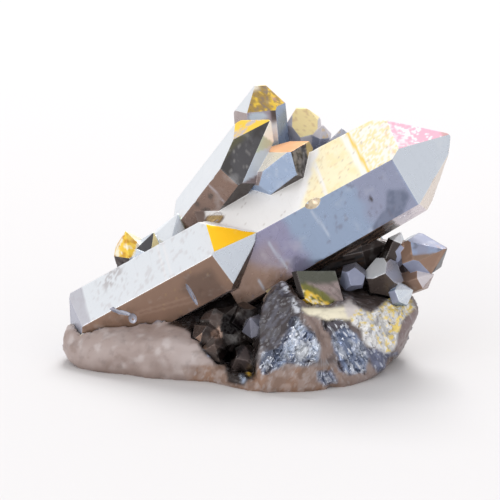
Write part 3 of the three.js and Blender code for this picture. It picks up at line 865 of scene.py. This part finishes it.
def store_coats(mesh, domain, coats):
    """Keeps coats in the mesh, one after another, for the materials to read. The domain is CORNER
    or POINT."""
    colour = np.concatenate([coat.colour for coat in coats])
    film = mesh.attributes.new("film", "FLOAT_COLOR", domain)
    film.data.foreach_set("color", np.c_[colour, np.ones(len(colour))].ravel())
    finish = mesh.attributes.new("finish", "FLOAT_VECTOR", domain)
    finish.data.foreach_set("vector", np.concatenate([coat.finish for coat in coats]).ravel())


def add_object(name, data):
    """A mesh, lamp or camera as an object of the scene."""
    made = bpy.data.objects.new(name, data)
    bpy.context.collection.objects.link(made)
    return made


# ---- the host rock ----
# The patches of the rock's front in the order laid: each one's tone, how metallic, how sparkling
# and how rough it is, and its outline in front millimetres.
ROCK_PATCHES = {
    # painted shade: the hollow's walls, dark brown
    "hollow": ((46, 38, 36), (0.4, 0.05, 0.2), [
        (-15, 6.9), (-11.8, 6.2), (-9.4, 4.1), (-8.2, 1.5), (-4.4, -0.4), (-4, -3.2), (-1, -3.6),
        (1.2, -1.6), (2.2, 6), (2.6, 12), (-2, 13), (-12, 10)]),
    "shade": ((78, 72, 74), (0.4, 0.14, 0.22), [
        (-3, 10.6), (2.2, 14.4), (5.8, 15.8), (7.4, 13.5), (9.2, 10), (8.2, 5.5), (6, 1.5), (3, 0.5),
        (1.2, 6), (0.5, 8.5)]),
    "glitter": ((140, 152, 180), (0.45, 1, 0.22), [
        (8.2, 8.4), (9.4, 7), (11.4, 5.7), (12.3, 3.6), (12.1, 0.9), (9.6, 0.2), (6.5, 0.6),
        (2.3, -1.6), (1.6, -0.3), (2.3, 2.2), (5.2, 3.2), (6.6, 6), (7.3, 8.6)]),
    "strip": ((146, 127, 120), (0.1, 0.05, 0.35), [
        (9.4, 9), (11.4, 8.7), (12.9, 7.5), (14.3, 5.3), (15.2, 3.5), (14.3, 2), (13.2, 0.4),
        (12.2, 1.3), (12.3, 3.5), (11.4, 5.7), (9.9, 7.5)]),
    # painted shadow: dark under the front of the cream shelf
    "shelf_shadow": ((92, 88, 96), (0.45, 0.7, 0.25), [
        (12.9, 7.8), (15.4, 8.3), (17.4, 8), (16.9, 5.7), (14.3, 4.9), (13.2, 6.3)]),
    "blue": ((142, 156, 186), (0.45, 0.8, 0.24), [
        (14.4, 5.2), (16.5, 6.8), (19, 5.4), (20.6, 3.1), (21.1, 0.6), (20.5, -1.3), (17.6, -1.9),
        (16.1, -0.9), (15.4, 1.7)]),
    "brown_back": ((82, 71, 68), (0.3, 0.1, 0.3), [
        (18.2, 11.2), (20.2, 15.5), (25.6, 14.5), (25, 12), (23.2, 10.2), (21.6, 9.2), (19.7, 9.8)]),
    "snow": ((254, 254, 253), (0, 0.55, 0.36), [
        (18, 9), (19.8, 9.8), (21.6, 9.1), (23.4, 10), (25.5, 12), (28, 13.6), (30.3, 10), (27.8, 7.8),
        (27, 6), (26.4, 3.5), (26, 2), (24.1, 1.6), (22.7, 2.7), (21.2, 3.1), (20.1, 4), (20, 6),
        (18.3, 7.1)]),
    "cream": ((255, 247, 220), (0, 0, 0.45), [
        (9.4, 9.9), (11.8, 10.1), (12.9, 10), (16.9, 10.4), (19, 8.9), (18.3, 8.1), (16.5, 8),
        (13.6, 8), (11.4, 8.6), (10, 8.9)]),
    "pale_facet": ((226, 219, 216), (0.1, 0, 0.3), [
        (16.7, 10.9), (18, 11.3), (19.5, 10), (19, 8.8), (17.6, 8.4), (16.9, 9.4)]),
    "wall": ((134, 117, 116), (0.1, 0.1, 0.35), [
        (29.8, 9.8), (31.8, 9), (30.2, 6.4), (28.2, 3.2), (27.2, 1.4), (26.2, 1.6), (26.6, 3.5),
        (27, 6), (27.9, 7.9)]),
    "drip": ((122, 128, 154), (0.4, 0.4, 0.3), [
        (20.9, 2.6), (22.7, 2.7), (24.3, 1.7), (26.8, 2), (27, 1.3), (24.7, 0.9), (24.1, -1.2),
        (23, -1.6), (21.9, -0.5)]),
    "fleck": ((150, 158, 180), (0.45, 1, 0.22), [
        (11.9, -1.2), (14.4, -0.8), (15.3, -3), (13.5, -3.6), (12, -2.8)]),
    "spark": ((176, 190, 214), (0.4, 0.8, 0.25), [
        (-1.6, -1.9), (-0.8, -2.1), (-0.5, -2.8), (-1.3, -3.1)]),
    "dot": ((150, 168, 206), (0.4, 0.2, 0.25), [
        (-7.6, 2.2), (-6.9, 2.1), (-6.8, 1.4), (-7.5, 1.3)]),
    "gold_spot": ((242, 196, 70), (0.2, 0.2, 0.3), [
        (-0.4, -1.2), (0.1, -1.6), (0, -2.1), (-0.4, -1.9)]),
}
# a painted highlight along the bright ridge down the front lump, as its starts and ends in front
# millimetres
GLINT_RIDGE = (np.array([(5.3, 15.6), (6.8, 13.0)]), np.array([(6.8, 13.0), (8.4, 9.6)]))
BARE_QUARTZ = (186, 173, 170)
# the coated rock's facets, large and small: size, seed, how far they lean, how far they stand up
# or back, and which of a grain's three numbers says so
FACETS = ((2.0, 3, 1.3, 0.5, 0), (0.9, 5, 1.1, 0.25, 1))


def streaks(places, size, seed):
    """1 in thin broken bands that lean over to the left on their way down, 0 between."""
    across = places[:, 0] - 0.5 * places[:, 1]
    along = places[:, 1] * 0.35
    return ease(0.54, 0.62, flat_noise(across, along, size, seed))


def paint_bare_rock(c, points, places, wander):
    """Milky quartz with browner clouds and pale veils, brown and rough low down at the front."""
    left = ease(-9, -13, places[:, 0])
    low = ease(0.4, -0.6, places[:, 1] + wander) * (1 - left)
    c.lay(ease(0.4, 0.66, layered(points, 7.0, 61)) * 0.8, (161, 143, 137))
    c.lay(0.5 * ease(0.55, 0.75, layered(points, 1.6, 67)), (206, 198, 197))
    c.lay(0.5 * blotch(points, 1.6, 83, 0.62, 0.7), (144, 126, 118))
    c.lay(left * ease(1.5, -3.0, places[:, 1] + 3 * wander) * 0.8, (136, 117, 109))
    c.lay(low, (138, 113, 99), (0, 0.08, 0.5))
    c.lay(low * blotch(points, 2.2, 33, 0.5, 0.62) * 0.5, (154, 118, 94))
    c.lay(low * blotch(points, 1.1, 35, 0.52, 0.6) * 0.5, (176, 160, 154))
    c.lay(low * ease(14, 20, places[:, 0] + wander) * 0.8, (158, 142, 138))


def paint_back_crust(c, points, back, wander):
    """A blue-grey glittering film over most of the back, down to just above its foot, with patches
    of gold."""
    risen = ease(1.5, 3.5, points[:, 2] + 2 * wander)
    crusted = back * ease(0.3, 0.5, layered(points, 5.0, 91)) * risen
    c.lay(crusted, (126, 130, 148), (0.5, 0.7, 0.25))
    c.lay(crusted * blotch(points, 4.0, 95, 0.5, 0.62), (226, 205, 150), (0.3, 0.5, 0.25))


def paint_front_patches(c, points, places, front, wander):
    """The patches of the table over a dull brown film, then what lies on some of them: streaks on
    shade, glitter, blue and snow, a bright spot in the glitter that is a painted highlight, grey
    and gold flecks in the snow, and a pale ridge that is a painted highlight."""
    def area(name, soft, stray=0.5):
        return front * patch(places, ROCK_PATCHES[name][2], soft, stray * wander)

    right = front * ease(-1.5, 1.5, places[:, 0] + wander) * ease(-0.8, 0.6, places[:, 1] + wander)
    c.lay(right, (120, 108, 106), (0.3, 0.25, 0.3))
    for name, (tone, finish, _) in ROCK_PATCHES.items():
        c.lay(area(name, 0.35), tone, finish)
    c.lay(area("shade", 0.3, 0) * streaks(places, 0.5, 41) * 0.5, (124, 126, 140))
    shine = area("glitter", 0.4)
    c.lay(shine * blotch(points, 2.4, 43, 0.5, 0.58) * 0.8, (76, 74, 84))
    c.lay(shine * streaks(places, 1.2, 45), (206, 216, 232))
    # painted highlight: a bright spot on the glitter
    spot = ease(1.6, 0.8, np.hypot(places[:, 0] - 9.2, (places[:, 1] - 2.6) * 0.8))
    c.lay(shine * spot, (232, 237, 244))
    shine = area("blue", 0.4)
    c.lay(shine * streaks(places * (-1, 1), 1.0, 47), (204, 212, 228))
    c.lay(shine * streaks(places * (-1, 1), 1.1, 49) * 0.7, (84, 86, 102))
    snow = area("snow", 0.3)
    c.lay(snow * streaks(places, 0.7, 51) * 0.35, (170, 168, 176), (0.3, 0.8, 0.28))
    c.lay(snow * blotch(points, 0.6, 55, 0.64, 0.7) * 0.6, (146, 138, 142))
    toward = 0.02 * (places[:, 0] - 25.2) + 0.012 * (places[:, 1] - 7)
    c.lay(snow * ease(0.54, 0.6, layered(points, 0.65, 37) + toward), (255, 228, 130), (0, 0.3, 0.36))
    # painted highlight: pale glints along the front lump's ridge
    ridge = front * ease(0.55, 0.25, line_distance(places, *GLINT_RIDGE))
    c.lay(ridge * blotch(points, 0.6, 39, 0.4, 0.48), (226, 230, 238), (0.4, 0.3, 0.25))


def rock_coat(points, normals):
    """The rock's coat. Front is where it is turned to the camera's side and isn't far behind, with
    a soft change to the back."""
    places = front_mm(points)
    wander = 1.6 * (layered(points, 1.8, 71) - 0.5)
    front = ease(-0.25, 0.1, normals @ TO_CAMERA) * ease(14, 8, points[:, 1] - TABLE_ORIGIN[1])
    coat = Coat(len(points), linear(BARE_QUARTZ), (0.0, 0.0, 0.42))
    paint_bare_rock(coat, points, places, wander)
    paint_back_crust(coat, points, 1 - front, wander)
    paint_front_patches(coat, points, places, front, wander)
    coat.colour = deepened(coat.colour, 0.75 * normals[:, 1])
    return coat


def even_skin(node):
    """A CAD node's solid as a mesh of points ROCK_VOXEL apart, in millimetres."""
    shape = merged_copy(node)
    mesh = bpy.data.meshes.new("rock_block")
    shape.to_mesh(mesh)
    shape.free()
    block = add_object("rock_block", mesh)
    remesh = block.modifiers.new("even", "REMESH")
    remesh.mode = "VOXEL"
    remesh.voxel_size = ROCK_VOXEL
    even = block.evaluated_get(bpy.context.evaluated_depsgraph_get())
    skin = bpy.data.meshes.new_from_object(even)
    bpy.data.objects.remove(block)
    bpy.data.meshes.remove(mesh)
    return skin


def rock_piece():
    """The rock's skin: the CAD solid covered in even points, each moved outwards to close on the
    crystals, then cut into tilted facets where it is coated and into soft hollows where it isn't.
    A facet is the part of the skin nearest one grain centre. It rises by the way from that centre
    times three random numbers, so it is flat and leans, and all of it stands up or back by one."""
    skin = even_skin(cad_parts["matrix"])
    points = np.zeros((len(skin.vertices), 3))
    normals = np.zeros_like(points)
    skin.vertices.foreach_get("co", points.ravel())
    skin.vertex_normals.foreach_get("vector", normals.ravel())
    sparkle = rock_coat(points, normals).finish[:, 1]
    tilt = 0
    for size, seed, lean, step, column in FACETS:
        own, way = grains(points, size, seed)
        tilt = tilt + ((own - 0.5) * way).sum(1) * lean + (own[:, column] - 0.5) * step
    hollows = 0.5 * (layered(points, 5.0, 19) - 0.5) + 0.2 * (layered(points, 1.3, 29) - 0.5)
    raised = ROCK_SWELL + sparkle * tilt + (1 - sparkle) * hollows
    raised = raised * ease(0.0, 1.2, points[:, 2])
    points = points + normals * raised[:, None]
    points[:, 2] = np.maximum(points[:, 2], 0)
    skin.vertices.foreach_set("co", (points * MM).ravel())
    store_coats(skin, "POINT", [rock_coat(points, normals)])
    skin.name = "host_rock"
    skin.materials.clear()
    skin.shade_smooth()
    skin.set_sharp_from_angle(angle=ROCK_SHARP)
    return add_object("host_rock", skin)


# ---- shader maths ----
class Value:
    """A socket that Python's operators add Math nodes to."""

    def __init__(self, finish, socket):
        self.finish = finish
        self.socket = socket

    def _math(self, operation, *values):
        return self.finish.node("ShaderNodeMath", {"operation": operation}, values)

    def __add__(self, other):
        return self._math("ADD", self, other)

    def __sub__(self, other):
        return self._math("SUBTRACT", self, other)

    def __mul__(self, other):
        return self._math("MULTIPLY", self, other)

    def __rsub__(self, other):
        return self._math("SUBTRACT", other, self)

    __radd__ = __add__
    __rmul__ = __mul__

    def ramp(self, low, high):
        """0 at low and below, 1 at high and above, with a smooth S between. Low may be the larger
        one."""
        return self.finish.node("ShaderNodeMapRange", {"interpolation_type": "SMOOTHSTEP"},
                                {"Value": self, "From Min": low, "From Max": high})


class Finish:
    """One material's node tree."""

    def __init__(self, name):
        self.material = bpy.data.materials.new(name)
        self.material.use_nodes = True
        self.tree = self.material.node_tree
        self.tree.nodes.clear()

    def node(self, kind, settings=None, inputs=(), output=0):
        """Adds a node: its settings first, then each socket's value or link."""
        made = self.tree.nodes.new(kind)
        for key, value in (settings or {}).items():
            setattr(made, key, value)
        pairs = inputs.items() if isinstance(inputs, dict) else enumerate(inputs)
        for key, value in pairs:
            if isinstance(value, Value):
                self.tree.links.new(value.socket, made.inputs[key])
            else:
                made.inputs[key].default_value = value
        return Value(self, made.outputs[output]) if len(made.outputs) else None

    def split(self, value, kind="XYZ"):
        """The parts of a vector, or of a colour where kind is Color."""
        first = self.node("ShaderNodeSeparate" + kind, {}, [value])
        return [Value(self, part) for part in first.socket.node.outputs]

    def mix(self, a, b, amount, mode="MIX"):
        """Two colours blended by amount. The Mix node's colour sockets are 6 and 7, its result 2."""
        return self.node("ShaderNodeMix", {"data_type": "RGBA", "blend_type": mode},
                         {0: amount, 6: a, 7: b}, 2)

    def noise(self, place, scale, detail):
        """Cloudy noise; the scale is per metre on Object coordinates."""
        return self.node("ShaderNodeTexNoise", {},
                         {"Vector": place, "Scale": scale, "Detail": detail}, "Fac")

    def coat(self):
        """What store_coats kept: the colour, and the three numbers of the finish."""
        film = self.node("ShaderNodeAttribute", {"attribute_name": "film"}, {}, "Color")
        finish = self.node("ShaderNodeAttribute", {"attribute_name": "finish"}, {}, "Vector")
        return film, *self.split(finish)

    def bump(self, height, strength, distance):
        """A normal tilted by a height; the distance is in metres."""
        return self.node("ShaderNodeBump", {},
                         {"Strength": strength, "Distance": distance, "Height": height})

    def shade(self, **inputs):
        """The one surface shader, linked to the output."""
        surface = self.node("ShaderNodeBsdfPrincipled", {}, {
            key.replace("_", " "): value for key, value in inputs.items()})
        self.node("ShaderNodeOutputMaterial", {}, {"Surface": surface})
        return self.material


def grey(value):
    """A neutral colour."""
    return (value, value, value, 1.0)


# for the crystals, per metre: faint clouds and fine grit
HAZE_SCALE = 350.0
GRIT_SCALE = 2200.0
GROWTH_STRETCH = (0.12, 2.2, 1.0)  # of the chart across and down a face, for its growth lines


def film_finish():
    """The shared look of every coated crystal face."""
    f = Finish("film_coated_quartz")
    film, metal, rough, grit = f.coat()
    place = f.node("ShaderNodeTexCoord", {}, {}, "Object")
    haze = f.noise(place, HAZE_SCALE, 4.0)
    fleck = f.noise(place, GRIT_SCALE, 2.0)
    chart = f.node("ShaderNodeUVMap", {"uv_map": "chart"}, {}, "UV")
    stretched = f.node("ShaderNodeMapping", {}, {"Vector": chart, "Scale": GROWTH_STRETCH}, "Vector")
    lines = f.noise(stretched, 1.0, 5.0)
    pale = f.mix(film, grey(1.0), 0.25)
    dark = f.mix(film, grey(0.25), 0.45, "MULTIPLY")
    bright = metal.ramp(0.95, 0.8) * 0.5
    colour = f.mix(film, pale, haze.ramp(0.55, 0.75) * bright)
    colour = f.mix(colour, dark, fleck.ramp(0.62, 0.68) * grit)
    colour = f.mix(colour, dark, lines.ramp(0.58, 0.72) * 0.12)
    bump = f.bump(haze * 0.4 + lines, 0.12, 0.0001)
    return f.shade(Base_Color=colour, Metallic=metal, Roughness=rough + haze * 0.1, Normal=bump)


# the facets lean over to the left on their way down up to the first of these x, in metres, and to
# the right past the second
SHEAR_CHANGE = (0.0112, 0.0122)
# for the rock, per metre: its veils, and its large and small facets
VEIL_SCALE = 600.0
LARGE_FACETS = 950.0
SMALL_FACETS = 2600.0
# painted glints: the pale colours that the brightest large facets and the small flecks are given
FACET_GLINT = (0.8, 0.85, 0.94, 1)
FLECK_GLINT = (0.86, 0.9, 0.97, 1)


def rock_finish():
    """The host rock: milky quartz where bare, tiny tilted mirrors where the film coats it, with
    painted glints on some facets and flecks.
    """
    f = Finish("host_rock")
    film, metal, sparkle, rough = f.coat()
    place = f.node("ShaderNodeTexCoord", {}, {}, "Object")
    x, y, z = f.split(place)
    shear = x.ramp(*SHEAR_CHANGE) - 0.5
    leant = f.node("ShaderNodeCombineXYZ", {}, [x + z * shear, y, z * 0.4])

    def cells(scale, output="Color"):
        return f.node("ShaderNodeTexVoronoi", {}, {"Vector": leant, "Scale": scale}, output)

    big, glint, tone = f.split(cells(LARGE_FACETS), "Color")
    small, fleck, _ = f.split(cells(SMALL_FACETS), "Color")
    haze = f.noise(place, VEIL_SCALE, 5.0)
    colour = f.mix(film, grey(0.32), haze.ramp(0.5, 0.75) * 0.3, "MULTIPLY")
    dark = f.mix(colour, grey(0.2), 1.0, "MULTIPLY")
    # painted highlights: large facets with a high glint number and small flecks are lightened towards
    # the glint colours
    bright = f.mix(colour, FACET_GLINT, 0.7)
    colour = f.mix(colour, dark, big.ramp(0.5, 0.1) * sparkle * 0.7)
    colour = f.mix(colour, bright, glint.ramp(0.6, 0.95) * sparkle * 0.7)
    colour = f.mix(colour, dark, small.ramp(0.35, 0.1) * sparkle * 0.6)
    colour = f.mix(colour, FLECK_GLINT, fleck.ramp(0.85, 0.93) * sparkle)
    bump = f.bump(cells(SMALL_FACETS, "Distance") * sparkle + haze * 0.5, 0.5, 0.0002)
    return f.shade(Base_Color=colour, Metallic=metal, Roughness=rough + tone * 0.1, Normal=bump)


def floor_finish():
    """Plain matt white paper."""
    return Finish("paper_floor").shade(Base_Color=PAPER, Roughness=0.9)


# ---- the pieces ----
def dress(piece, node, material):
    """Puts a piece in the place of a CAD node, with its material."""
    piece.data.materials.append(material)
    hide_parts(node)
    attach(piece, "root")


dress(rock_piece(), "matrix", rock_finish())
film_material = film_finish()
for name, (slot, group) in GROUPS.items():
    dress(faceted_piece(name, group), name, film_material)


# ---- stage, light and camera ----
def make_stage():
    """A large square sheet at the height that the piece stands on."""
    mesh = bpy.data.meshes.new("floor")
    corners = [(FLOOR_HALF * x, FLOOR_HALF * y, 0) for x, y in ((-1, -1), (1, -1), (1, 1), (-1, 1))]
    mesh.from_pydata(corners, [], [(0, 1, 2, 3)])
    mesh.materials.append(floor_finish())
    add_object("floor", mesh)


def soft_lamp(name, place, size, energy):
    """A square lamp that faces the middle of the piece."""
    lamp = bpy.data.lights.new(name, "AREA")
    lamp.size = size
    lamp.energy = energy
    holder = add_object(name, lamp)
    holder.location = place
    toward = Vector(place) - Vector(LAMP_TARGET)
    holder.rotation_euler = toward.to_track_quat("Z", "Y").to_euler()


def make_light():
    """A pale room, one large soft lamp above and behind, and a low weak one in front."""
    world = bpy.data.worlds.new("studio")
    bpy.context.scene.world = world
    world.use_nodes = True
    room = world.node_tree.nodes["Background"].inputs
    room["Color"].default_value = ROOM_TINT
    room["Strength"].default_value = ROOM_STRENGTH
    for name, (place, size, energy) in LAMPS.items():
        soft_lamp(name, place, size, energy)


def make_camera():
    """A long lens, 15 degrees above level, looking along +Y."""
    camera = bpy.data.cameras.new("camera")
    camera.lens = CAMERA_LENS
    camera.sensor_width = CAMERA_SENSOR
    camera.clip_start, camera.clip_end = CAMERA_CLIP
    holder = add_object("camera", camera)
    holder.location = tuple((LOOK_AT + TO_CAMERA * CAMERA_DISTANCE) * MM)
    holder.rotation_euler = (math.pi / 2 - CAMERA_RISE, 0, 0)
    bpy.context.scene.camera = holder


make_stage()
make_light()
make_camera()
bpy.context.scene.view_settings.view_transform = "Standard"
